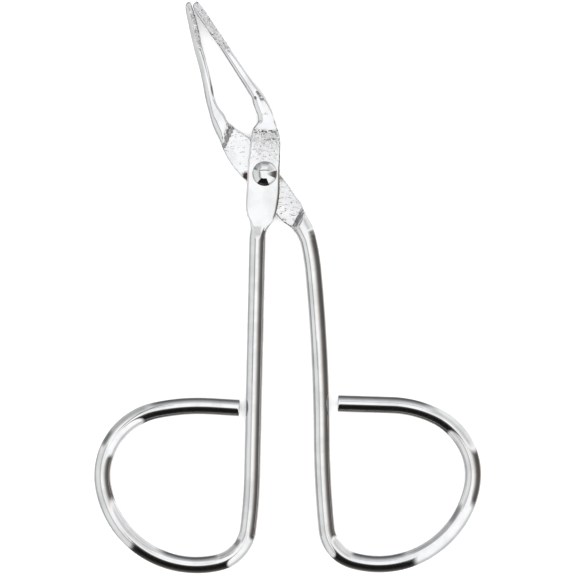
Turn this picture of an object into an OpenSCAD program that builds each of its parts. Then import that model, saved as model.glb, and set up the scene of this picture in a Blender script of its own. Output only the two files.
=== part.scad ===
// Scissor-handled tongs: two crossed arms, each bent from one steel wire, on one domed rivet.
// Millimetres. The origin is on the rivet's axis, in the plane that the tool rests on.
// +Z goes up through the rivet's dome, +Y towards the jaw tips, and +X to the right.

/* [Wire] */
// Diameter of the round wire that each arm is bent from
wire_d = 2.8; // [2.6:0.1:3]

/* [Joint] */
// Thickness of the flat that is forged into each wire
flat_t = 1.15; // [1:0.05:1.25]
// Diameter of the rivet's shank
rivet_d = 2.2; // [1.8:0.1:2.6]
// Diameter of the rivet's domed head
head_d = 4.2; // [3.8:0.1:4.6]
// Height of the domed head above the front flat
head_h = 1.4; // [1:0.1:1.8]
// Diameter of the rivet's hammered tail
tail_d = 3.4; // [3:0.1:4]
// Radial gap between the rivet's shank and the rear arm's hole
bore_gap = 0.04; // [0.02:0.01:0.1]
// Gap between the two flats
lap_gap = 0.04; // [0.02:0.01:0.1]

/* [Jaws] */
// Depth of each jaw at its root
root_depth = 2.4; // [2:0.1:2.8]
// Depth of each jaw at its tip
tip_depth = 1.5; // [1.2:0.1:2]

/* [Hidden] */
$fn = 96;

wire_r = wire_d / 2;
half_gap = lap_gap / 2;

// Heights over the lap plane between the two flats
front_low = half_gap;
front_top = half_gap + flat_t;
rear_low = -half_gap - flat_t;
rear_top = -half_gap;

// Points round each cross-section, rings between two of an arm's stated sections, and the
// most that a bend turns between two rings, in degrees
section_points = 20;
section_steps = 2;
bend_step = 6;

// Where each wire leaves its flat: x, y and the direction that it leaves in
front_start = [-1.23, -11.13, -91.29];
rear_start = [7.31, -11.2, -76.76];

// The bends of each wire, from its flat to its cut end. A row is [bend radius, turn in degrees],
// with a left turn positive, or [0, length] for a straight stretch.
front_bends = [[0, 39.91], [80.9, -6.26], [6.55, -68.96], [15.9, -92.68],
               [11.21, -88.89], [35.4, -15.41], [0, 4.7]];
rear_bends = [[40.5, -7.89], [314.7, -4.98], [171, 5.25], [6.26, 69.54],
              [16, 93.04], [11.01, 76.84], [19.12, 23.24], [0, 8.9]];

// Cross-sections of the forged end of each arm, from its wire to its jaw tip. A row is
// [left x, y, right x, y, lowest z, highest z, squareness], over the lap plane, and a
// squareness of 2 is an ellipse.
front_sections = [
    wire_section(front_start),
    [-2.47, -10.6, 0.18, -10.6, -1.37, 1.39, 2.1],
    [-2.4, -10.1, 0.25, -10.1, -1.3, 1.37, 2.3],
    [-2.34, -9.6, 0.42, -9.6, -1, 1.32, 2.7],
    [-2.36, -9, 0.72, -9, front_low, 1.24, 3.5],
    [-2.5, -8.1, 1.28, -8.1, front_low, front_top, 6],
    [-2.96, -6.92, 1.81, -6.92, front_low, front_top, 8],
    [-3.19, -5.24, 2.22, -5.24, front_low, front_top, 8],
    [-3.02, -2.72, 2.49, -2.72, front_low, front_top, 8],
    [-2.87, 0.6, 2.5, 0.6, front_low, front_top, 8],
    [-2.66, 3, 2.56, 3, front_low, front_top, 8],
    [-2.45, 4.9, 2.62, 5.1, front_low, front_top, 8],
    [-2.3, 6.1, 2.54, 6, front_low, front_top, 8],
    [-2.2, 6.75, 2.42, 6.6, front_low, front_top, 8],
    [-2.09, 7.2, 2.25, 7.2, -0.5, 1.36, 6],
    [-1.85, 7.75, 2.1, 7.8, -root_depth / 2, 1.4, 5],
    [-1.4, 8.35, 1.95, 8.5, -root_depth / 2, 1.4, 4],
    [-1.12, 8.95, 1.78, 9.1, -root_depth / 2, 1.4, 4],
    [-1.2, 9.7, 1.58, 9.9, -root_depth / 2, 1.4, 4],
    [-1.6, 10.7, 1.15, 11.1, -root_depth / 2, 1.35, 3],
    [-1.95, 11.7, 0.55, 12.3, -root_depth / 2, 1.28, 3],
    [-2.2, 12.7, -0.1, 13.3, -root_depth / 2, root_depth / 2, 3],
    [-2.7, 13.5, -1, 14.4, -root_depth / 2, root_depth / 2, 3],
    [-3.5, 14.8, -2.12, 15.72, -root_depth / 2, root_depth / 2, 3],
    [-5, 17.14, -3.7, 17.99, -root_depth / 2, root_depth / 2, 3],
    [-7.83, 21.62, -6.7, 22.36, -1.03, 1.03, 3],
    [-10.26, 25.06, -9.06, 25.91, -0.85, 0.85, 3],
    [-11.62, 27.15, -10.35, 27.85, -tip_depth / 2, tip_depth / 2, 3],
    [-12.05, 27.95, -10.95, 28.6, -0.68, 0.68, 2.5],
    [-12.06, 28.5, -11.44, 28.92, -0.4, 0.4, 2],
];

rear_sections = [
    wire_section(rear_start),
    [5.65, -10.85, 8.5, -9.9, -1.4, 1.4, 2.1],
    [5.4, -10.3, 8.1, -8.9, -1.38, 1.39, 2.3],
    [5.2, -9.95, 7.6, -7.9, -1.33, 1.37, 2.6],
    [5.02, -9.7, 7.12, -6.95, -1.25, 1.33, 3],
    [4.5, -9.12, 6.42, -6, rear_low, rear_top, 6],
    [4.1, -8.8, 6.2, -5, rear_low, rear_top, 8],
    [3.2, -8.15, 5.4, -4.1, rear_low, rear_top, 8],
    [2, -6.96, 3.9, -1.8, rear_low, rear_top, 8],
    [0.3, -5.05, 2.2, 0.3, rear_low, rear_top, 8],
    [-1.45, -3.1, 0.4, 2.45, rear_low, rear_top, 8],
    [-3.16, -1.18, -1.3, 4.5, rear_low, rear_top, 8],
    [-4.3, -0.03, -2.7, 6.1, rear_low, rear_top, 8],
    [-5.45, 1.35, -3.8, 6.9, rear_low, rear_top, 8],
    [-6.4, 2.85, -4.6, 7.4, rear_low, rear_top, 8],
    [-6.85, 3.75, -5.02, 7.71, rear_low, rear_top, 6],
    [-7.2, 4.5, -5.7, 8.25, -1.2, 1.28, 4],
    [-7.75, 5.9, -6.3, 9, -root_depth / 2, 1.3, 3],
    [-8.4, 7.2, -6.85, 10, -root_depth / 2, 1.25, 3],
    [-9, 8.7, -7.5, 10.8, -root_depth / 2, root_depth / 2, 3],
    [-9.45, 10.5, -7.95, 11.5, -root_depth / 2, root_depth / 2, 3],
    [-9.9, 12.2, -8.4, 12.7, -root_depth / 2, root_depth / 2, 3],
    [-10.3, 14.5, -8.85, 14.9, -root_depth / 2, root_depth / 2, 3],
    [-10.94, 17.5, -9.52, 17.9, -root_depth / 2, root_depth / 2, 3],
    [-11.93, 21.17, -10.52, 21.55, -1.03, 1.03, 3],
    [-12.84, 25.17, -11.36, 25.5, -0.85, 0.85, 3],
    [-13.25, 27.2, -11.95, 27.4, -tip_depth / 2, tip_depth / 2, 3],
    [-13.35, 28.2, -12.3, 28.35, -0.68, 0.68, 2.5],
    [-13.08, 28.85, -12.45, 28.95, -0.4, 0.4, 2],
];

// The wire's own round section at x, y and a direction, seen as one looks back along it
function wire_section(at) =
    let (dx = wire_r * sin(at.z), dy = wire_r * cos(at.z))
    [at.x + dx, at.y - dy, at.x - dx, at.y + dy, -wire_r, wire_r, 2];

// x, y and direction after one bend or straight stretch
function after(at, bend) =
    bend[0] == 0
        ? [at.x + bend[1] * cos(at.z), at.y + bend[1] * sin(at.z), at.z]
        : let (r = bend[0] * sign(bend[1]), out = at.z + bend[1])
          [at.x + r * (sin(out) - sin(at.z)), at.y - r * (cos(out) - cos(at.z)), out];

function reach(start, bends, count) =
    count == 0 ? start : after(reach(start, bends, count - 1), bends[count - 1]);

// The places along a wire that get a ring: closely spaced round each bend
function stations(start, bends) = [
    for (i = [0:len(bends) - 1])
        let (at = reach(start, bends, i), radius = bends[i][0], amount = bends[i][1],
             steps = radius == 0 ? 1 : ceil(abs(amount) / bend_step))
        for (s = [1:steps]) after(at, [radius, amount * s / steps])
];

// The wire's sections, from its cut end to its start
function wire_rows(start, bends) =
    let (places = stations(start, bends))
    [for (i = [len(places) - 1:-1:0]) wire_section(places[i])];

// A smooth curve through four values, from the second to the third
function curve(a, b, c, d, t) =
    b + t / 2 * (c - a + t * (2 * a - 5 * b + 4 * c - d + t * (3 * (b - c) + d - a)));

// A row between sections i and i + 1: its sides follow the curve, its heights a straight line
function between(rows, i, t) =
    let (a = rows[max(i - 1, 0)], b = rows[i], c = rows[i + 1], d = rows[min(i + 2, len(rows) - 1)])
    [for (k = [0:6]) k < 4 ? curve(a[k], b[k], c[k], d[k], t) : b[k] + (c[k] - b[k]) * t];

function smooth_rows(rows) = [
    for (i = [0:len(rows) - 2]) for (s = [0:section_steps - 1]) between(rows, i, s / section_steps),
    rows[len(rows) - 1]
];

function power(v, p) = sign(v) * pow(abs(v), p);

// One ring of points: a superellipse stood on the line from the row's left to its right
function ring(row) = [
    for (k = [0:section_points - 1])
        let (turn = 360 * k / section_points, across = power(cos(turn), 2 / row[6]),
             up = power(sin(turn), 2 / row[6]))
        [(row[0] + row[2] + (row[2] - row[0]) * across) / 2,
         (row[1] + row[3] + (row[3] - row[1]) * across) / 2,
         (row[4] + row[5] + (row[5] - row[4]) * up) / 2]
];

// Solid through all the rows, one ring after another
module loft(rows) {
    n = section_points;
    last = len(rows) - 1;
    polyhedron(
        points = [for (row = rows) each ring(row)],
        faces = [
            [for (k = [n - 1:-1:0]) k],
            [for (k = [0:n - 1]) last * n + k],
            for (i = [0:last - 1]) for (k = [0:n - 1])
                [i * n + k, i * n + (k + 1) % n, (i + 1) * n + (k + 1) % n],
            for (i = [0:last - 1]) for (k = [0:n - 1])
                [i * n + k, (i + 1) * n + (k + 1) % n, (i + 1) * n + k]
        ],
        convexity = 6
    );
}

// One arm: a single wire, bent into its loop and forged into its flat and jaw, then drilled
module arm(start, bends, sections, hole_d) {
    translate([0, 0, wire_r])
        difference() {
            loft(concat(wire_rows(start, bends), smooth_rows(sections)));
            translate([0, 0, -wire_d])
                cylinder(d = hole_d, h = 2 * wire_d);
        }
}

module front_arm() {
    color([0.82, 0.83, 0.84])
        arm(front_start, front_bends, front_sections, rivet_d);
}

module rear_arm() {
    color([0.74, 0.75, 0.77])
        arm(rear_start, rear_bends, rear_sections, rivet_d + 2 * bore_gap);
}

// The dome is the cap of a sphere over the head's edge
module rivet() {
    edge = 0.15;
    cap_h = head_h - edge;
    dome_r = (pow(head_d / 2, 2) + pow(cap_h, 2)) / (2 * cap_h);
    head_z = wire_r + front_top;
    tail_h = wire_r + rear_low;
    color([0.88, 0.88, 0.86]) {
        cylinder(d = rivet_d, h = head_z);
        cylinder(d1 = tail_d - 0.2, d2 = tail_d, h = tail_h);
        translate([0, 0, head_z])
            cylinder(d = head_d, h = edge);
        translate([0, 0, head_z + edge])
            intersection() {
                translate([0, 0, cap_h - dome_r])
                    sphere(r = dome_r);
                cylinder(d = head_d, h = cap_h);
            }
    }
}

front_arm();
rear_arm();
rivet();
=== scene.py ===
"""Scissor-handled tweezers: two plated wire arms on a domed rivet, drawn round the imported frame.

Everything is in metres in the frame's own axes. Tables that give a shape in millimetres say so,
and their heights are over the lap plane, where the two forged flats meet.
"""

import math

import bpy
import numpy as np
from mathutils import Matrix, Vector, noise


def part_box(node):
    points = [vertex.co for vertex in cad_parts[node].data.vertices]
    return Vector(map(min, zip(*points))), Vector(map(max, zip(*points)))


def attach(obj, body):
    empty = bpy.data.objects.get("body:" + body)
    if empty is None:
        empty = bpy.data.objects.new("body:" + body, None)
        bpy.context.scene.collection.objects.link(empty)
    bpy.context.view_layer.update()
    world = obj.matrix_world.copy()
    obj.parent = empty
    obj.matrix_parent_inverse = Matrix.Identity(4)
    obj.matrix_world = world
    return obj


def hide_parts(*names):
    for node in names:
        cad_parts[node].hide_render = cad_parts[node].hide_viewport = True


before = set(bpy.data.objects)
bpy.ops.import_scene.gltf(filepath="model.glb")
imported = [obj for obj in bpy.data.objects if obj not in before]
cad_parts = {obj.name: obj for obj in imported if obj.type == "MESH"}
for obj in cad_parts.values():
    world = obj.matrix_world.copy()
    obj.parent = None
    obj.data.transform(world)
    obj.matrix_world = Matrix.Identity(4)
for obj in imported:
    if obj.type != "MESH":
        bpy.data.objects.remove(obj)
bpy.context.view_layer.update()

MM = 0.001

# Sizes that the frame gives
arm_low, arm_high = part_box("front_arm")
rivet_low, rivet_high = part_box("rivet")
WIRE_R = (arm_high.z - arm_low.z) / 2
LAP_Z = arm_low.z + WIRE_R
HEAD_R = (rivet_high.x - rivet_low.x) / 2
HEAD_TOP = rivet_high.z

# The joint, in millimetres: the flats' thickness, half the gap between them, the rivet's head and
# the straight edge under its dome, its shank and tail, and the room round the shank in each arm
FLAT = 1.15
HALF_GAP = 0.02
HEAD_H = 1.4
HEAD_EDGE = 0.15
SHANK_R = 1.1
TAIL_R = 1.7
FRONT_BORE_GAP = 0.005
REAR_BORE_GAP = 0.04

# Heights of the two flats' faces, and half the jaws' depth where they leave the neck
FRONT_LOW, FRONT_TOP = HALF_GAP, HALF_GAP + FLAT
REAR_TOP, REAR_LOW = -HALF_GAP, -HALF_GAP - FLAT
JAW = 1.2

# ---------------------------------------------------------------- the arms' shapes, in millimetres

# Where each wire leaves its forged end: x, y and the direction that it leaves in, in degrees
FRONT_START = (-1.23, -11.13, -91.29)
REAR_START = (7.31, -11.2, -76.76)

# The wire's bends, from there to its cut end: (bend radius, turn in degrees), or (0, length)
FRONT_BENDS = [(0, 39.91), (80.9, -6.26), (6.55, -68.96), (15.9, -92.68),
               (11.21, -88.89), (35.4, -15.41), (0, 4.7)]
REAR_BENDS = [(40.5, -7.89), (314.7, -4.98), (171, 5.25), (6.26, 69.54),
              (16, 93.04), (11.01, 76.84), (19.12, 23.24), (0, 8.9)]

# Sections of the forged ends, from the wire to the jaw tip: left x, y, right x, y, lowest z,
# highest z, corner radius on the left and on the right, and how far the top left corner is cut
# down from round (0) to a flat chamfer (1)
FRONT_SECTIONS = [
    (-2.58, -10.6, 0.18, -10.6, -1.4, 1.4, 1.35, 1.33, 0),
    (-2.5, -10.1, 0.23, -10.1, -1.3, 1.4, 1.3, 1.3, 0),
    (-2.43, -9.6, 0.36, -9.6, -1, 1.38, 1.2, 1.2, 0),
    (-2.39, -9.1, 0.62, -9.1, -0.3, 1.3, 0.8, 0.8, 0),
    (-2.42, -8.6, 0.95, -8.6, FRONT_LOW, 1.22, 0.45, 0.45, 0),
    (-2.5, -8.1, 1.28, -8.1, FRONT_LOW, FRONT_TOP, 0.32, 0.3, 0),
    (-2.96, -6.92, 1.81, -6.92, FRONT_LOW, FRONT_TOP, 0.25, 0.29, 0),
    (-3.19, -5.24, 2.22, -5.24, FRONT_LOW, FRONT_TOP, 0.25, 0.32, 0),
    (-3.02, -2.72, 2.49, -2.72, FRONT_LOW, FRONT_TOP, 0.25, 0.3, 0),
    (-2.87, 0.6, 2.5, 0.6, FRONT_LOW, FRONT_TOP, 0.25, 0.24, 0),
    (-2.66, 3, 2.56, 3, FRONT_LOW, FRONT_TOP, 0.25, 0.16, 0),
    (-2.45, 4.9, 2.62, 5.1, FRONT_LOW, FRONT_TOP, 0.28, 0.15, 0),
    (-2.3, 6.1, 2.54, 6, FRONT_LOW, FRONT_TOP, 0.28, 0.15, 0),
    (-2.16, 6.92, 2.4, 6.7, FRONT_LOW, FRONT_TOP, 0.28, 0.16, 0),
    (-2.12, 7.02, 2.36, 6.84, -0.2, 1.22, 0.3, 0.18, 0),
    (-2.02, 7.38, 2.24, 7.2, -0.8, 1.37, 0.32, 0.2, 0),
    (-1.85, 7.75, 2.1, 7.7, -JAW, 1.4, 0.42, 0.24, 0),
    (-1.4, 8.35, 1.93, 8.5, -JAW, 1.4, 0.35, 0.26, 0),
    (-1.12, 8.95, 1.74, 9.1, -JAW, 1.4, 0.32, 0.28, 0),
    (-1.2, 9.7, 1.5, 9.9, -JAW, 1.4, 0.32, 0.3, 0),
    (-1.6, 10.7, 1.03, 11.1, -JAW, 1.38, 0.34, 0.32, 0),
    (-1.95, 11.7, 0.43, 12.3, -JAW, 1.34, 0.4, 0.4, 0),
    (-2.2, 12.7, -0.15, 13.3, -JAW, 1.29, 0.6, 0.5, 0),
    (-2.7, 13.5, -1, 14.4, -JAW, 1.24, 0.75, 0.55, 0),
    (-3.5, 14.8, -2.12, 15.72, -JAW, JAW, 0.75, 0.42, 0),
    (-5, 17.14, -3.7, 17.99, -JAW, JAW, 0.7, 0.38, 0),
    (-7.3, 20.8, -6.1, 21.5, -1.07, 1.07, 0.55, 0.38, 0),
    (-7.83, 21.62, -6.7, 22.36, -1.03, 1.03, 0.4, 0.38, 0),
    (-10.26, 25.06, -9.06, 25.91, -0.85, 0.85, 0.35, 0.45, 0),
    (-11.62, 27.15, -10.35, 27.85, -0.75, 0.75, 0.35, 0.45, 0),
    (-12, 27.9, -10.9, 28.55, -0.68, 0.68, 0.4, 0.45, 0),
    (-12.06, 28.4, -11.25, 28.85, -0.5, 0.5, 0.35, 0.35, 0),
    (-11.9, 28.62, -11.5, 28.93, -0.25, 0.25, 0.2, 0.2, 0),
]
REAR_SECTIONS = [
    (5.65, -10.85, 8.42, -9.9, -1.4, 1.4, 1.35, 1.35, 0),
    (5.4, -10.3, 8.1, -8.9, -1.38, 1.4, 1.3, 1.3, 0),
    (5.2, -9.98, 7.55, -7.85, -1.33, 1.38, 1.28, 1.3, 0),
    (5.08, -9.8, 7.15, -7.1, -1.27, 1.32, 1.15, 1.15, 0),
    (4.98, -9.68, 6.85, -6.6, -1.24, 1.16, 0.9, 0.8, 0),
    (4.72, -9.35, 6.55, -6.05, -1.2, 0.55, 0.5, 0.5, 0),
    (4.55, -9.15, 6.4, -5.55, REAR_LOW, 0.12, 0.3, 0.3, 0),
    (4.45, -9.02, 6.27, -5.3, REAR_LOW, REAR_TOP, 0.22, 0.22, 0),
    (4.1, -8.75, 6.05, -4.85, REAR_LOW, REAR_TOP, 0.22, 0.22, 0),
    (3.2, -8.15, 5.4, -4.05, REAR_LOW, REAR_TOP, 0.22, 0.22, 0),
    (2, -6.96, 3.9, -1.8, REAR_LOW, REAR_TOP, 0.22, 0.22, 0),
    (0.3, -5.05, 2.2, 0.3, REAR_LOW, REAR_TOP, 0.22, 0.22, 0),
    (-1.45, -3.1, 0.4, 2.45, REAR_LOW, REAR_TOP, 0.22, 0.22, 0),
    (-3.16, -1.18, -1.3, 4.5, REAR_LOW, REAR_TOP, 0.22, 0.22, 0),
    (-4.3, -0.03, -2.7, 6.1, REAR_LOW, REAR_TOP, 0.22, 0.22, 0),
    (-5.45, 1.35, -3.8, 6.9, REAR_LOW, REAR_TOP, 0.22, 0.22, 0),
    (-6.4, 2.85, -4.6, 7.4, REAR_LOW, REAR_TOP, 0.22, 0.22, 0),
    (-6.85, 3.75, -5.02, 7.71, REAR_LOW, REAR_TOP, 0.25, 0.25, 0),
    (-6.95, 3.98, -5.2, 7.86, REAR_LOW, 0.14, 0.3, 0.3, 0),
    (-7.22, 4.62, -5.72, 8.28, -1.1, 1.0, 0.8, 0.7, 0),
    (-7.36, 5, -5.98, 8.5, -1.2, 1.22, 1.1, 0.7, 0),
    (-7.75, 5.9, -6.33, 8.95, -JAW, 1.3, 1.15, 0.5, 0),
    (-8.4, 7.2, -6.85, 10, -JAW, 1.27, 1.15, 0.45, 0),
    (-9, 8.7, -7.5, 10.8, -JAW, JAW, 1.1, 0.42, 0),
    (-9.45, 10.5, -7.95, 11.5, -JAW, JAW, 0.85, 0.42, 0),
    (-9.9, 12.2, -8.4, 12.7, -JAW, JAW, 0.8, 0.5, 0.3),
    (-10.3, 14.5, -8.85, 14.9, -JAW, JAW, 0.72, 0.52, 0.8),
    (-10.94, 17.5, -9.52, 17.9, -1.15, 1.15, 0.7, 0.5, 0.9),
    (-11.93, 21.17, -10.52, 21.55, -1.03, 1.03, 0.7, 0.45, 0.95),
    (-12.84, 25.17, -11.36, 25.5, -0.85, 0.85, 0.68, 0.4, 0.95),
    (-13.25, 27.2, -11.95, 27.4, -0.75, 0.75, 0.6, 0.4, 0.9),
    (-13.35, 28.1, -12.25, 28.25, -0.68, 0.68, 0.5, 0.45, 0),
    (-13.15, 28.65, -12.4, 28.75, -0.5, 0.5, 0.4, 0.4, 0),
    (-12.95, 28.9, -12.5, 28.95, -0.25, 0.25, 0.2, 0.2, 0),
]

# Feet of the rear plate's two shoulders: x, y, direction in degrees, and the side that rises
SHOULDERS = ((-6.95, 3.98, 65.7, 1), (4.55, -9.15, 62.8, -1))

# Inner edge of the front arm's neck, which has a shallow bevel beside it: y, then x
NECK_EDGE = ((8.35, 8.95, 9.7, 10.7, 11.7, 12.7), (-1.4, -1.12, -1.2, -1.6, -1.95, -2.2))

# Nicks left by forging on the front arm, which hold dirt or are clean: x, y, reach and depth
DIRTY_NICKS = [(-1.62, 12.72, 0.26, 0.15), (-1.28, 13.7, 0.22, 0.08), (-1.05, 13.4, 0.26, 0.1),
               (-0.82, 13.05, 0.24, 0.08)]
CLEAN_NICKS = [(0.25, 10.1, 0.22, 0.07), (-0.2, 10.02, 0.2, 0.04)]

# ---------------------------------------------------------------- building the arms, in millimetres

# Points round a section, and the distance between sections, on the wire and on the forged end,
# and the points that draw each rounded corner
WIRE_RING = 40
FORGED_RING = 120
WIRE_STEP = 0.45
FORGED_STEP = 0.075
CORNER_POINTS = 14

# How far the wire's surface wavers, and over what length
WIRE_WAVE = 0.005
WIRE_WAVE_LENGTH = 3.0

# The wire's cut end, from its middle outward: share of the full radius, and depth below the end
CUT_END = ((0.55, 0), (0.88, 0), (0.95, 0.02), (0.985, 0.07), (1, 0.16))

# Depths of the forged surfaces' relief. A pair is fine and coarse noise, or the knurl's pyramids
# and the noise that wears them.
PEBBLE_DEPTH = 0.1
BEATEN_DEPTHS = (0.1, 0.2)
PRESSED_DEPTH = 0.05
FRONT_KNURL_DEPTHS = (0.02, 0.11)
REAR_KNURL_DEPTHS = (0.012, 0.055)
REAR_KNURL_SUNK = 0.06
RIPPLE_DEPTH = 0.028
DIMPLE_DEPTH = 0.05
SHOULDER_DEPTH = 0.11
KNURL_PITCH = 0.5

# The front jaw's inner edge: a point on it, and the direction away from it across the jaw
JAW_EDGE = (-7.83, 21.62)
FROM_JAW_EDGE = (0.833, 0.553)

# How fast the bevels on the neck's outer and inner sides fall
OUTER_BEVEL = 0.09
INNER_BEVEL = 0.4

# The rivet's hole: its sides, and in metres the heights that the cut runs between, past both arms
HOLE_SIDES = 96
HOLE_LOW, HOLE_HIGH = -MM, 5 * MM

# The rivet's mesh: steps up the dome, whose profile is a quarter ellipse, and points round it
DOME_STEPS = 48
RIVET_RING = 128


def after(at, bend):
    """x, y and direction after one bend or straight stretch."""
    x, y, heading = at
    radius, amount = bend
    a = math.radians(heading)
    if radius == 0:
        return (x + amount * math.cos(a), y + amount * math.sin(a), heading)
    r = math.copysign(radius, amount)
    b = math.radians(heading + amount)
    return (x + r * (math.sin(b) - math.sin(a)), y - r * (math.cos(b) - math.cos(a)),
            heading + amount)


def wire_section(at, shrink=1.0):
    """The wire's round section at x, y and a direction, seen as one looks back along it."""
    r = WIRE_R / MM * shrink
    dx, dy = r * math.sin(math.radians(at[2])), r * math.cos(math.radians(at[2]))
    return (at[0] + dx, at[1] - dy, at[0] - dx, at[1] + dy, -r, r, r, r, 0)


def wire_sections(start, bends):
    """Close round sections along the wire, from its cut end to its start."""
    places, at = [], start
    for radius, amount in bends:
        length = amount if radius == 0 else abs(math.radians(amount)) * radius
        steps = max(1, math.ceil(length / WIRE_STEP))
        places += [after(at, (radius, amount * s / steps)) for s in range(1, steps + 1)]
        at = after(at, (radius, amount))
    end = places[-1]
    back = math.radians(end[2])
    cut = []
    for shrink, depth in CUT_END:
        cut.append(wire_section((end[0] - depth * math.cos(back), end[1] - depth * math.sin(back),
                                 end[2]), shrink))
    return cut + [wire_section(p) for p in reversed(places[:-1])]


def monotone(x, y, at):
    """Smooth curve through the rows of y at x that never overshoots a row, read at the places at."""
    h = np.diff(x)[:, None]
    slope = np.diff(y, axis=0) / h
    middle = np.zeros_like(slope[1:])
    same = slope[1:] * slope[:-1] > 0
    with np.errstate(divide="ignore", invalid="ignore"):
        weighted = (3 * (h[1:] + h[:-1])
                    / ((2 * h[1:] + h[:-1]) / slope[:-1] + (h[1:] + 2 * h[:-1]) / slope[1:]))
    middle[same] = weighted[same]
    tangent = np.vstack([slope[:1], middle, slope[-1:]])
    i = np.clip(np.searchsorted(x, at) - 1, 0, len(x) - 2)
    t = ((at - x[i]) / h[i, 0])[:, None]
    return ((1 + 2 * t) * (1 - t) ** 2 * y[i] + t * (1 - t) ** 2 * h[i] * tangent[i]
            + t * t * (3 - 2 * t) * y[i + 1] - t * t * (1 - t) * h[i] * tangent[i + 1])


def section_ring(row, count):
    """Points round one section, evenly spaced within each quarter of its outline."""
    lx, ly, rx, ry, low, high, round_left, round_right, chamfer = row
    half_w = math.hypot(rx - lx, ry - ly) / 2
    half_h = (high - low) / 2
    turns = np.linspace(0, math.pi / 2, CORNER_POINTS)
    c, s = np.cos(turns), np.sin(turns)
    rr = min(round_right, half_w, half_h)
    rl = min(round_left, half_w, half_h)
    spare = max(0, half_w - half_h)
    wr, wl = rr + spare * (rr / half_h) ** 4, rl + spare * (rl / half_h) ** 4
    right = np.column_stack([half_w - wr + wr * c, half_h - rr + rr * s])
    bow = 1 - chamfer * (1 - 1 / (c + s))
    left = np.column_stack([-half_w + wl - wl * c * bow, half_h - rl + rl * s * bow])[::-1]
    low_left = np.column_stack([-half_w + wl - wl * c, -half_h + rl - rl * s])
    low_right = np.column_stack([half_w - wr + wr * c, -half_h + rr - rr * s])[::-1]
    quarters = [np.vstack([[half_w, 0], right, [0, half_h]]),
                np.vstack([[0, half_h], left, [-half_w, 0]]),
                np.vstack([[-half_w, 0], low_left, [0, -half_h]]),
                np.vstack([[0, -half_h], low_right, [half_w, 0]])]
    ring = []
    for q in quarters:
        run = np.concatenate([[0], np.cumsum(np.hypot(*np.diff(q, axis=0).T))])
        even = np.linspace(0, run[-1], count // 4, endpoint=False)
        ring.append(np.column_stack([np.interp(even, run, q[:, 0]), np.interp(even, run, q[:, 1])]))
    ring = np.vstack(ring)
    across = np.array([rx - lx, ry - ly]) / (2 * half_w)
    mid = np.array([rx + lx, ry + ly]) / 2
    return np.column_stack([mid + ring[:, :1] * across, (high + low) / 2 + ring[:, 1]])


def arm_rows(start, bends, sections):
    """All of an arm's sections, closely spaced, and how many of them are plain wire."""
    wire = np.array(wire_sections(start, bends))
    forged = np.array([wire_section(start)] + sections)
    mids = (forged[:, 0:2] + forged[:, 2:4]) / 2
    run = np.concatenate([[0], np.cumsum(np.hypot(*np.diff(mids, axis=0).T))])
    places = np.linspace(0, run[-1], math.ceil(run[-1] / FORGED_STEP) + 1)
    return np.vstack([wire, monotone(run, forged, places)]), len(wire)


def smoothstep(low, high, v):
    t = np.clip((v - low) / (high - low), 0, 1)
    return t * t * (3 - 2 * t)


def grid_normals(grid):
    along = np.gradient(grid, axis=0)
    around = np.roll(grid, -1, axis=1) - np.roll(grid, 1, axis=1)
    n = np.cross(along, around)
    return n / np.maximum(np.linalg.norm(n, axis=2, keepdims=True), 1e-9)


def rough_field(points, size, seed, octaves=2):
    """Smooth noise of about -1 to 1 over the points, in millimetres, with bumps of one size."""
    offset = Vector((seed * 17.3, seed * 5.1, seed * 9.7))
    flat = points.reshape(-1, 3)
    values = np.array([noise.fractal(Vector(p) / size + offset, 1.0, 2.0, octaves) for p in flat])
    return values.reshape(points.shape[:-1])


def strip(first, rows, count):
    """Faces between neighbouring rings of a grid whose points start at index first."""
    i, k = np.meshgrid(np.arange(rows - 1), np.arange(count), indexing="ij")
    nxt = (k + 1) % count
    here, there = first + i * count, first + (i + 1) * count
    return np.stack([here + k, there + k, there + nxt, here + nxt], axis=-1).reshape(-1, 4).tolist()


def add_object(name, data):
    piece = bpy.data.objects.new(name, data)
    bpy.context.scene.collection.objects.link(piece)
    return piece


def arm_mesh(name, rows, wire_count, relief):
    """A closed mesh through the rows: a coarse ring on the wire, a fine one on the forged end."""
    wire = np.array([section_ring(r, WIRE_RING) for r in rows[:wire_count]])
    forged = np.array([section_ring(r, FORGED_RING) for r in rows[wire_count:]])
    press(forged)
    normals = grid_normals(forged)
    height, masks = relief(forged, normals)
    forged = forged + normals * height[:, :, None]
    wire = wire + grid_normals(wire) * WIRE_WAVE * rough_field(wire, WIRE_WAVE_LENGTH, 11)[:, :, None]
    verts = np.vstack([wire.reshape(-1, 3), forged.reshape(-1, 3)])
    verts = (verts + [0, 0, LAP_Z / MM]) * MM
    faces = strip(0, len(wire), WIRE_RING) + strip(wire_count * WIRE_RING, len(forged), FORGED_RING)
    last_wire, first_forged = (wire_count - 1) * WIRE_RING, wire_count * WIRE_RING
    share = FORGED_RING // WIRE_RING
    for k in range(WIRE_RING):
        fine = [first_forged + (k * share + q) % FORGED_RING for q in range(share + 1)]
        here, there = last_wire + k, last_wire + (k + 1) % WIRE_RING
        faces += [[here, fine[0], fine[1]], [here, fine[1], fine[2], there], [there, fine[2], fine[3]]]
    faces.append(list(range(WIRE_RING)))
    faces.append([len(verts) - 1 - q for q in range(FORGED_RING)])
    mesh = bpy.data.meshes.new(name)
    mesh.from_pydata(verts.tolist(), [], faces)
    mesh.validate()
    mesh.shade_smooth()
    for mask_name, values in masks.items():
        every = np.concatenate([np.zeros(wire_count * WIRE_RING), values.reshape(-1)])
        mesh.attributes.new(mask_name, "FLOAT", "POINT").data.foreach_set(
            "value", every.astype(np.float32))
    return add_object(name, mesh)


def near(points, x, y, reach):
    """1 at a place on the plan, falling to 0 at the given reach."""
    return 1 - smoothstep(0.35, 1, np.hypot(points[..., 0] - x, points[..., 1] - y) / reach)


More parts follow.
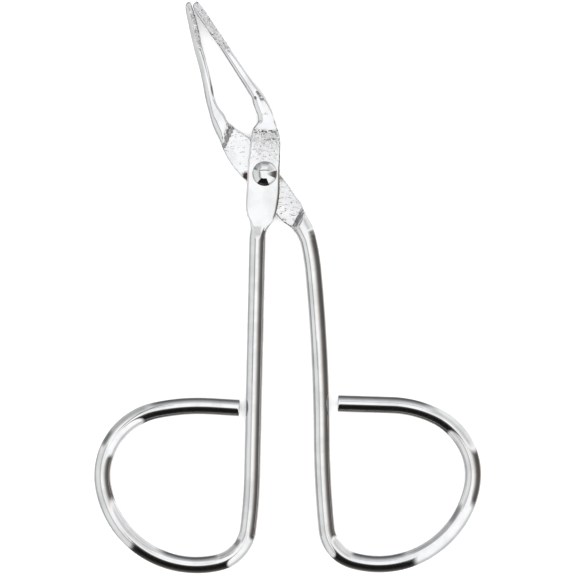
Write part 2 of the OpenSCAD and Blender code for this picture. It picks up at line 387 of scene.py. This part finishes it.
def turned(points, heading, stretch):
    """The points in axes turned to a heading, shortened along it so that noise comes out drawn out."""
    c, s = math.cos(math.radians(heading)), math.sin(math.radians(heading))
    x, y, z = points[..., 0], points[..., 1], points[..., 2]
    return np.stack([(x * c + y * s) / stretch, y * c - x * s, z], axis=-1)


def knurl(points, heading, pitch):
    """Crossed rows of small pyramids, from -1 to 1, along a jaw that runs in the given direction."""
    on_jaw = turned(points, heading, 1)
    wander = 0.3 * rough_field(points, 0.6, 7)
    return (np.cos(2 * math.pi * ((on_jaw[..., 0] + on_jaw[..., 1]) / pitch + wander))
            + np.cos(2 * math.pi * ((on_jaw[..., 0] - on_jaw[..., 1]) / pitch - wander))) / 2


def front_relief(points, normals):
    """Pebbled plate above the rivet, beaten step at its top, pressed end, and the knurled tip."""
    x, y, z = points[..., 0], points[..., 1], points[..., 2]
    up = smoothstep(0.5, 0.9, normals[..., 2])
    plate = up * smoothstep(-1.5, 6, y) * (1 - smoothstep(7.3, 7.8, y))
    beaten = up * smoothstep(4.6, 6.2, y) * (1 - smoothstep(7.1, 7.5, y)) * (0.75 + 0.15 * x)
    pressed = up * smoothstep(-10.9, -10.2, y) * (1 - smoothstep(-9, -8.7, y))
    pressed = pressed * (1 - smoothstep(0.4, 0.65, np.abs(x + 1.15)))
    tip = smoothstep(20.9, 21.5, y + 0.4 * (x + 7)) * smoothstep(-0.3, 0.2, normals[..., 2])
    from_edge = (x - JAW_EDGE[0]) * FROM_JAW_EDGE[0] + (y - JAW_EDGE[1]) * FROM_JAW_EDGE[1]
    tip = tip * (1 - (1 - smoothstep(0.3, 0.5, from_edge)) * smoothstep(23.6, 24.6, y))
    pebbles = np.clip(rough_field(points, 0.32, 1), -0.7, 0.25)
    height = (plate * PEBBLE_DEPTH * pebbles
              + beaten * (BEATEN_DEPTHS[0] * rough_field(points, 0.34, 2)
                          + BEATEN_DEPTHS[1] * rough_field(points, 0.6, 12))
              + pressed * PRESSED_DEPTH * rough_field(points, 0.26, 3)
              + tip * (FRONT_KNURL_DEPTHS[0] * knurl(points, 122, KNURL_PITCH)
                       + FRONT_KNURL_DEPTHS[1] * rough_field(points, 0.36, 4))
              + dents(points, DIRTY_NICKS + CLEAN_NICKS))
    satin = 0.4 * plate + 1.2 * beaten + 2.6 * pressed + 0.1 * up + 0.6 * tip
    dirt_and_shade = 0.13 * pressed + 0.12 * tip * smoothstep(-0.1, 0.3, rough_field(points, 0.45, 14))
    for nick_x, nick_y, reach, _ in DIRTY_NICKS:
        dirt_and_shade = np.maximum(dirt_and_shade, 0.8 * near(points, nick_x, nick_y, 1.2 * reach) * (z > 0))
    return height, {"satin": satin, "dirt_and_shade": dirt_and_shade}


def rear_relief(points, normals):
    """Rolled ripples across the plate, beaten shoulders, the knurled tip, and painted shade by the
    joint.
    """
    x, y, z = points[..., 0], points[..., 1], points[..., 2]
    up = smoothstep(0.3, 0.85, normals[..., 2])
    plate = up * (1 - smoothstep(0.05, 0.3, z)) * (np.abs(y) < 10)
    slope, streaks = np.zeros_like(x), np.zeros_like(x)
    for foot_x, foot_y, heading, side in SHOULDERS:
        placed = turned(points - [foot_x, foot_y, 0], heading, 5)
        beyond = side * placed[..., 1]
        band = smoothstep(-0.05, 0.1, beyond) * (1 - smoothstep(0.7, 1.15, beyond))
        band = band * (np.abs(placed[..., 0] * 5 - 2) < 4) * smoothstep(-0.2, 0.1, normals[..., 2])
        slope = slope + band
        streaks = streaks + band * rough_field(placed, 0.3, 8)
    tip = smoothstep(20.9, 21.7, y) * smoothstep(-0.3, 0.2, normals[..., 2])
    inner = smoothstep(-0.35, 0.1, (x + 11.4 + 0.245 * (y - 22.5)) / 0.7)
    ripples = rough_field(turned(points, 0, 3.5), 0.22, 5)
    dimples = np.minimum(rough_field(turned(points, 0, 1.8), 0.27, 6), 0)
    rolled = plate * (1 + 0.5 * smoothstep(1.5, 3, x))
    height = (rolled * (RIPPLE_DEPTH * ripples + DIMPLE_DEPTH * dimples)
              + SHOULDER_DEPTH * streaks
              + tip * inner * (-REAR_KNURL_SUNK
                               + REAR_KNURL_DEPTHS[0] * knurl(points, 104, KNURL_PITCH)
                               + REAR_KNURL_DEPTHS[1] * rough_field(points, 0.28, 9)))
    # Painted shade: two dark patches on the rear flat, where it runs out from under the front plate's
    # edges beside the joint, stand in for the shadow there
    dirt_and_shade = up * np.maximum(near(points, -3.1, -0.4, 1.1), 0.6 * near(points, 2.75, -0.75, 0.7))
    dirt_and_shade = dirt_and_shade * smoothstep(-0.25, 0.1, rough_field(points, 0.5, 10) + 0.25)
    # Real dirt in the knurled tip
    dirt_and_shade = dirt_and_shade + 0.4 * tip * inner * smoothstep(-0.15, 0.25, rough_field(points, 0.45, 13))
    satin = 0.45 * plate + 0.9 * slope + 0.8 * tip * inner
    return height, {"satin": satin, "dirt_and_shade": dirt_and_shade}


def press(points):
    """What a flat die left on the forged end, pressed into the points in place: the front flat
    runs out into the round wire as a narrowing facet, and both sides of the neck are bevelled.
    The limits on x keep the rear arm out of it."""
    x, y, z = points[..., 0], points[..., 1], points[..., 2]
    plane = FRONT_TOP + (1.42 - FRONT_TOP) * smoothstep(8.4, 11.8, -y)
    upper = np.clip(z / 1.2, 0, 1)
    bevel = np.maximum(0, (x - 1.05) * 0.92 + (y - 8) * 0.4)
    on_neck = smoothstep(7.6, 9, y) * (1 - smoothstep(12.6, 14, y)) * (x > -4) * upper
    flat = np.where((y < -8) & (y > -12) & (x < 3), np.minimum(z, plane), z)
    inner = np.maximum(0, np.interp(y, *NECK_EDGE) + 0.8 - x)
    on_inner = smoothstep(8.2, 8.9, y) * (1 - smoothstep(12, 13, y)) * (x > -3) * upper
    points[..., 2] = flat - OUTER_BEVEL * bevel * on_neck - INNER_BEVEL * inner * on_inner


def dents(points, places):
    """Small hammer marks and nicks: x, y, reach and depth of each."""
    height = np.zeros(points.shape[:-1])
    for x, y, reach, depth in places:
        height -= depth * near(points, x, y, reach) * (points[..., 2] > 0)
    return height


def drill(piece, radius):
    """Cuts the rivet's hole through an arm."""
    ring = [(radius * math.cos(a), radius * math.sin(a))
            for a in np.linspace(0, 2 * math.pi, HOLE_SIDES, endpoint=False)]
    ends = [tuple(range(HOLE_SIDES - 1, -1, -1)), tuple(range(HOLE_SIDES, 2 * HOLE_SIDES))]
    walls = [(k, (k + 1) % HOLE_SIDES, HOLE_SIDES + (k + 1) % HOLE_SIDES, HOLE_SIDES + k)
             for k in range(HOLE_SIDES)]
    mesh = bpy.data.meshes.new("drill")
    mesh.from_pydata([(x, y, z) for z in (HOLE_LOW, HOLE_HIGH) for x, y in ring], [], ends + walls)
    cutter = add_object("drill", mesh)
    cut = piece.modifiers.new("hole", "BOOLEAN")
    cut.operation = "DIFFERENCE"
    cut.solver = "EXACT"
    cut.object = cutter
    bpy.context.view_layer.update()
    drilled = bpy.data.meshes.new_from_object(
        piece.evaluated_get(bpy.context.evaluated_depsgraph_get()))
    piece.modifiers.clear()
    piece.data = drilled
    bpy.data.objects.remove(cutter)


def build_arm(name, node, body, start, bends, sections, relief, hole_r):
    rows, wire_count = arm_rows(start, bends, sections)
    piece = arm_mesh(name, rows, wire_count, relief)
    drill(piece, hole_r)
    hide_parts(node)
    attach(piece, body)
    return piece


def revolve(name, profile, turns):
    """A closed mesh of revolution about Z from (radius, z) pairs in metres, first and last on the
    axis."""
    verts, faces = [(0, 0, profile[0][1])], []
    for r, z in profile[1:-1]:
        for k in range(turns):
            a = 2 * math.pi * k / turns
            verts.append((r * math.cos(a), r * math.sin(a), z))
    verts.append((0, 0, profile[-1][1]))
    rings = len(profile) - 2
    last = len(verts) - 1
    for k in range(turns):
        j = (k + 1) % turns
        faces.append((0, 1 + j, 1 + k))
        for i in range(rings - 1):
            a, b = 1 + i * turns, 1 + (i + 1) * turns
            faces.append((a + k, a + j, b + j, b + k))
        faces.append((1 + (rings - 1) * turns + k, 1 + (rings - 1) * turns + j, last))
    mesh = bpy.data.meshes.new(name)
    mesh.from_pydata(verts, [], faces)
    mesh.shade_smooth()
    return add_object(name, mesh)


def rivet_profile():
    """From the tail's flat face, up the shank and over the dome."""
    head_z = HEAD_TOP - HEAD_H * MM
    tail_top = LAP_Z + REAR_LOW * MM
    cap_h = (HEAD_H - HEAD_EDGE) * MM
    tail_r, shank_r = TAIL_R * MM, SHANK_R * MM
    tail = [(0, 0), (0.5 * tail_r, 0), (tail_r - 0.22 * MM, 0), (tail_r - 0.12 * MM, 0.02 * MM),
            (tail_r - 0.04 * MM, 0.09 * MM), (tail_r, tail_top - 0.04 * MM),
            (tail_r - 0.03 * MM, tail_top)]
    shank = [(shank_r + 0.01 * MM, tail_top), (shank_r, tail_top + 0.02 * MM),
             (shank_r, head_z - 0.02 * MM), (shank_r + 0.01 * MM, head_z)]
    rim = [(HEAD_R - 0.05 * MM, head_z), (HEAD_R - 0.01 * MM, head_z + 0.03 * MM),
           (HEAD_R, head_z + 0.09 * MM)]
    quarter = [math.pi / 2 * s / DOME_STEPS for s in range(DOME_STEPS + 1)]
    dome = [(HEAD_R * math.cos(a), HEAD_TOP - cap_h * (1 - math.sin(a))) for a in quarter]
    dome[-1] = (0, HEAD_TOP)
    return tail + shank + rim + dome


# ---------------------------------------------------------------- materials

# The plating's colour, its shade where it is clouded, and the colour of dirt, also used for the painted
# shade by the joint
PLATING_COLOUR = (0.66, 0.665, 0.67, 1)
CLOUD_SHADE = 0.86
DIRT_AND_SHADE_COLOUR = (0.05, 0.03, 0.02, 1)

# Its roughness, and what clouding, satin, and the dirt with the painted shade each add to that
PLATING_ROUGHNESS = 0.035
CLOUD_ROUGHNESS = 0.035
SATIN_ROUGHNESS = 0.15
DIRT_AND_SHADE_ROUGHNESS = 0.3


def math_node(tree, operation, a, b=None):
    n = tree.nodes.new("ShaderNodeMath")
    n.operation = operation
    for socket, value in zip(n.inputs, (a, b)):
        if value is None:
            continue
        if isinstance(value, (int, float)):
            socket.default_value = value
        else:
            tree.links.new(value, socket)
    return n.outputs[0]


def ramp_node(tree, value, low, high, out_low=0.0, out_high=1.0):
    n = tree.nodes.new("ShaderNodeMapRange")
    n.interpolation_type = "SMOOTHSTEP"
    tree.links.new(value, n.inputs["Value"])
    for socket, v in (("From Min", low), ("From Max", high), ("To Min", out_low), ("To Max", out_high)):
        n.inputs[socket].default_value = v
    return n.outputs["Result"]


def mix_colour(tree, factor, a, b):
    n = tree.nodes.new("ShaderNodeMix")
    n.data_type = "RGBA"
    for socket, value in ((n.inputs[0], factor), (n.inputs[6], a), (n.inputs[7], b)):
        if isinstance(value, (tuple, int, float)):
            socket.default_value = value
        else:
            tree.links.new(value, socket)
    return n.outputs[2]


def material(name):
    m = bpy.data.materials.new(name)
    m.use_nodes = True
    return m, m.node_tree, m.node_tree.nodes["Principled BSDF"]


def noise_node(tree, vector, scale, detail):
    n = tree.nodes.new("ShaderNodeTexNoise")
    tree.links.new(vector, n.inputs["Vector"])
    n.inputs["Scale"].default_value = scale
    n.inputs["Detail"].default_value = detail
    return n.outputs["Fac"]


def plating(name, base, roughness):
    """Bright plating: a mirror on the wire, satin where the steel was forged, dull in the knurl."""
    m, tree, shader = material(name)
    shader.inputs["Metallic"].default_value = 1
    place = tree.nodes.new("ShaderNodeTexCoord").outputs["Object"]
    masks = {}
    for mask in ("satin", "dirt_and_shade"):
        n = tree.nodes.new("ShaderNodeAttribute")
        n.attribute_name = mask
        masks[mask] = n.outputs["Fac"]
    cloud = noise_node(tree, place, 260, 3)
    pores = noise_node(tree, place, 2600, 2)
    pit = ramp_node(tree, pores, 0.68, 0.76)
    dull = tuple(CLOUD_SHADE * c for c in base[:3]) + (1,)
    colour = mix_colour(tree, ramp_node(tree, cloud, 0.35, 0.7), base, dull)
    # Dirt, and the painted shade on the rear flat by the joint, both in this dark brown
    colour = mix_colour(tree, masks["dirt_and_shade"], colour, DIRT_AND_SHADE_COLOUR)
    tree.links.new(colour, shader.inputs["Base Color"])
    rough = roughness
    for fac, amount in ((ramp_node(tree, cloud, 0.45, 0.75), CLOUD_ROUGHNESS),
                        (masks["satin"], SATIN_ROUGHNESS), (masks["dirt_and_shade"], DIRT_AND_SHADE_ROUGHNESS)):
        rough = math_node(tree, "ADD", rough, math_node(tree, "MULTIPLY", fac, amount))
    tree.links.new(rough, shader.inputs["Roughness"])
    grain = noise_node(tree, place, 5200, 3)
    bump = tree.nodes.new("ShaderNodeBump")
    bump.inputs["Distance"].default_value = 1e-5
    bump.inputs["Strength"].default_value = 0.4
    coarse = math_node(tree, "ADD", math_node(tree, "MULTIPLY", masks["satin"], 0.5), 0.04)
    height = math_node(tree, "MULTIPLY", grain, coarse)
    height = math_node(tree, "SUBTRACT", height, math_node(tree, "MULTIPLY", pit, 0.25))
    tree.links.new(height, bump.inputs["Height"])
    tree.links.new(bump.outputs["Normal"], shader.inputs["Normal"])
    return m


# ---------------------------------------------------------------- the studio

# The view: its middle and width, in millimetres, and the lens. The floor's width is in metres,
# and it lies a hair below the tool.
VIEW_MIDDLE = (3.9, -19.2)
VIEW_WIDTH = 96.8
LENS = 250
FLOOR_WIDTH = 2.4
FLOOR_Z = -0.02 * MM

# Brightness of the plain white that lights the floor and stands behind the tool
PLAIN_STRENGTH = 2.1

# Level cards over the tool that only its plating sees: name, brightness, two corners and height,
# in millimetres
CARDS = [
    ("white_card", 1.45, (-22, -30), (12, 5), 60),
    ("tent_seam", 0.35, (-90, 36), (60, 50), 120),
    ("tent_post", 0.4, (-41, -36), (-33, 60), 60),
]


def floor_material():
    m, _, shader = material("paper_sweep")
    shader.inputs["Base Color"].default_value = (0.92, 0.92, 0.92, 1)
    shader.inputs["Roughness"].default_value = 0.7
    return m


def add_floor(size):
    mesh = bpy.data.meshes.new("floor")
    h = size / 2
    corners = ((-h, -h), (h, -h), (h, h), (-h, h))
    mesh.from_pydata([(x, y, FLOOR_Z) for x, y in corners], [], [(0, 1, 2, 3)])
    floor = add_object("floor", mesh)
    mesh.materials.append(floor_material())
    floor.visible_glossy = False


# What stands round the tweezers, as their plating sees it: for each sector the azimuth of its
# middle, half its width and the softness of its edges in degrees, a tint, and its brightness at
# angles in degrees from straight up. Below 90 degrees is the table.
SECTORS = [
    ("left_wall", 192, 180, 0, (1, 1, 1),
     [(0, 1.5), (17, 1.42), (22, 1.05), (26, 0.62), (30, 0.78), (36, 0.95), (50, 1.12), (80, 1.12),
      (98, 0.85), (109, 0.55), (117, 0.52), (128, 0.8), (142, 1.05)]),
    ("upper_left", 131, 21, 4, (1, 1, 1),
     [(0, 1.5), (36, 1.38), (47, 0.95), (60, 0.72), (75, 0.58), (95, 0.6), (120, 0.66), (145, 0.75)]),
    ("upper_right", 44, 22, 4, (1, 1, 1),
     [(0, 1.5), (12, 1.42), (25, 1.2), (35, 0.95), (47, 0.9), (60, 1.0), (75, 1.2), (90, 1.27),
      (105, 1.22), (125, 1.12)]),
    ("top", 87, 21, 6, (0.97, 0.98, 1),
     [(0, 1.5), (38, 1.38), (50, 1.02), (60, 0.82), (75, 0.55), (90, 0.32), (105, 0.19), (116, 0.15),
      (130, 0.18), (143, 0.35), (160, 0.6)]),
    ("right", -8, 24.5, 3, (1, 0.95, 0.91),
     [(0, 1.5), (10, 1.35), (23, 0.95), (33, 0.6), (45, 0.28), (60, 0.165), (78, 0.13), (95, 0.14),
      (107, 0.22), (118, 0.5), (130, 0.9), (145, 1.15)]),
    ("lower_right", 314, 23, 3, (1, 1, 1),
     [(0, 1.5), (60, 1.45), (75, 1.25), (90, 0.97), (105, 0.87), (120, 0.93), (135, 1.1), (150, 1.2)]),
    ("below", 261, 31, 2, (1, 0.95, 0.9),
     [(0, 1.5), (4, 1.0), (7, 0.2), (20, 0.04), (30, 0.012), (64, 0.012), (78, 0.04), (92, 0.08),
      (106, 0.14), (118, 0.23), (130, 0.45), (143, 0.85), (160, 1.15)]),
    ("door_edge", 152, 5, 4, (1, 1, 1),
     [(0, 1.5), (36, 1.3), (50, 0.8), (60, 0.5), (75, 0.33), (90, 0.24), (110, 0.25), (130, 0.4),
      (150, 0.75)]),
]


def studio_world():
    """White to the camera and to the table. The plating sees the sectors."""
    world = bpy.data.worlds.new("studio")
    bpy.context.scene.world = world
    world.use_nodes = True
    tree = world.node_tree
    tree.nodes.clear()
    coords = tree.nodes.new("ShaderNodeTexCoord")
    split = tree.nodes.new("ShaderNodeSeparateXYZ")
    tree.links.new(coords.outputs["Generated"], split.inputs[0])
    x, y, z = split.outputs
    flat = math_node(tree, "SQRT", math_node(tree, "ADD", math_node(tree, "MULTIPLY", x, x),
                                             math_node(tree, "MULTIPLY", y, y)))
    flat = math_node(tree, "MAXIMUM", flat, 1e-5)
    # The slope of a mirror that would show this direction to someone looking straight down
    tilt = math_node(tree, "SQRT", math_node(tree, "ADD", math_node(tree, "MULTIPLY", z, 2), 2))
    tilt = math_node(tree, "MAXIMUM", tilt, 1e-3)
    seen = None
    for name, azimuth, half_width, softness, tint, stops in SECTORS:
        ramp = tree.nodes.new("ShaderNodeValToRGB")
        ramp.name = name
        ramp.color_ramp.interpolation = "LINEAR"
        while len(ramp.color_ramp.elements) < len(stops):
            ramp.color_ramp.elements.new(0.5)
        for element, (degrees, brightness) in zip(ramp.color_ramp.elements, stops):
            element.position = degrees / 180
            element.color = [brightness * t for t in tint] + [1]
        a = math.radians(azimuth)
        along = math_node(tree, "ADD", math_node(tree, "MULTIPLY", x, math.cos(a)),
                          math_node(tree, "MULTIPLY", y, math.sin(a)))
        slope = math_node(tree, "DIVIDE", along, tilt)
        slope = math_node(tree, "MINIMUM", math_node(tree, "MAXIMUM", slope, 0), 1)
        from_top = math_node(tree, "MULTIPLY", math_node(tree, "ARCSINE", slope), 2 / math.pi)
        tree.links.new(from_top, ramp.inputs[0])
        if seen is None:
            seen = ramp.outputs[0]
            continue
        facing = math_node(tree, "DIVIDE", along, flat)
        inside = ramp_node(tree, facing, math.cos(math.radians(half_width + softness)),
                           math.cos(math.radians(half_width - softness)))
        seen = mix_colour(tree, inside, seen, ramp.outputs[0])
    around = tree.nodes.new("ShaderNodeBackground")
    tree.links.new(seen, around.inputs["Color"])
    plain = tree.nodes.new("ShaderNodeBackground")
    plain.inputs["Color"].default_value = (1, 1, 1, 1)
    plain.inputs["Strength"].default_value = PLAIN_STRENGTH
    path = tree.nodes.new("ShaderNodeLightPath")
    mix = tree.nodes.new("ShaderNodeMixShader")
    tree.links.new(path.outputs["Is Glossy Ray"], mix.inputs[0])
    tree.links.new(plain.outputs[0], mix.inputs[1])
    tree.links.new(around.outputs[0], mix.inputs[2])
    out = tree.nodes.new("ShaderNodeOutputWorld")
    tree.links.new(mix.outputs[0], out.inputs[0])


def add_camera(target, view_width, lens):
    """Looks straight down, with +Y up, on a square of the given width round the target."""
    cam = bpy.data.cameras.new("camera")
    cam.lens = lens
    cam.sensor_width = 36
    cam.clip_start = 0.01
    cam.clip_end = 20
    holder = add_object("camera", cam)
    holder.location = (target[0], target[1], target[2] + view_width * lens / cam.sensor_width)
    bpy.context.scene.camera = holder


def add_card(name, brightness, low, high, height):
    """A level card that only the plating sees: two corners and its height, in millimetres."""
    mesh = bpy.data.meshes.new(name)
    (x0, y0), (x1, y1) = low, high
    corners = ((x0, y0), (x1, y0), (x1, y1), (x0, y1))
    mesh.from_pydata([(x * MM, y * MM, height * MM) for x, y in corners], [], [(0, 1, 2, 3)])
    card = add_object(name, mesh)
    m, _, shader = material(name)
    shader.inputs["Base Color"].default_value = (0, 0, 0, 1)
    shader.inputs["Specular IOR Level"].default_value = 0
    shader.inputs["Emission Color"].default_value = (1, 1, 1, 1)
    shader.inputs["Emission Strength"].default_value = brightness
    mesh.materials.append(m)
    card.visible_camera = False
    card.visible_diffuse = False
    card.visible_shadow = False


add_camera((VIEW_MIDDLE[0] * MM, VIEW_MIDDLE[1] * MM, LAP_Z), VIEW_WIDTH * MM, LENS)
bpy.context.scene.view_settings.view_transform = "Standard"
add_floor(FLOOR_WIDTH)
studio_world()
for card in CARDS:
    add_card(*card)

bright = plating("bright_plating", PLATING_COLOUR, PLATING_ROUGHNESS)
front = build_arm("front_arm_wire", "front_arm", "front_half", FRONT_START, FRONT_BENDS,
                  FRONT_SECTIONS, front_relief, (SHANK_R + FRONT_BORE_GAP) * MM)
rear = build_arm("rear_arm_wire", "rear_arm", "rear_half", REAR_START, REAR_BENDS,
                 REAR_SECTIONS, rear_relief, (SHANK_R + REAR_BORE_GAP) * MM)
for arm in (front, rear):
    arm.data.materials.append(bright)
rivet = revolve("domed_rivet", rivet_profile(), RIVET_RING)
rivet.data.materials.append(bright)
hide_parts("rivet")
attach(rivet, "front_half")
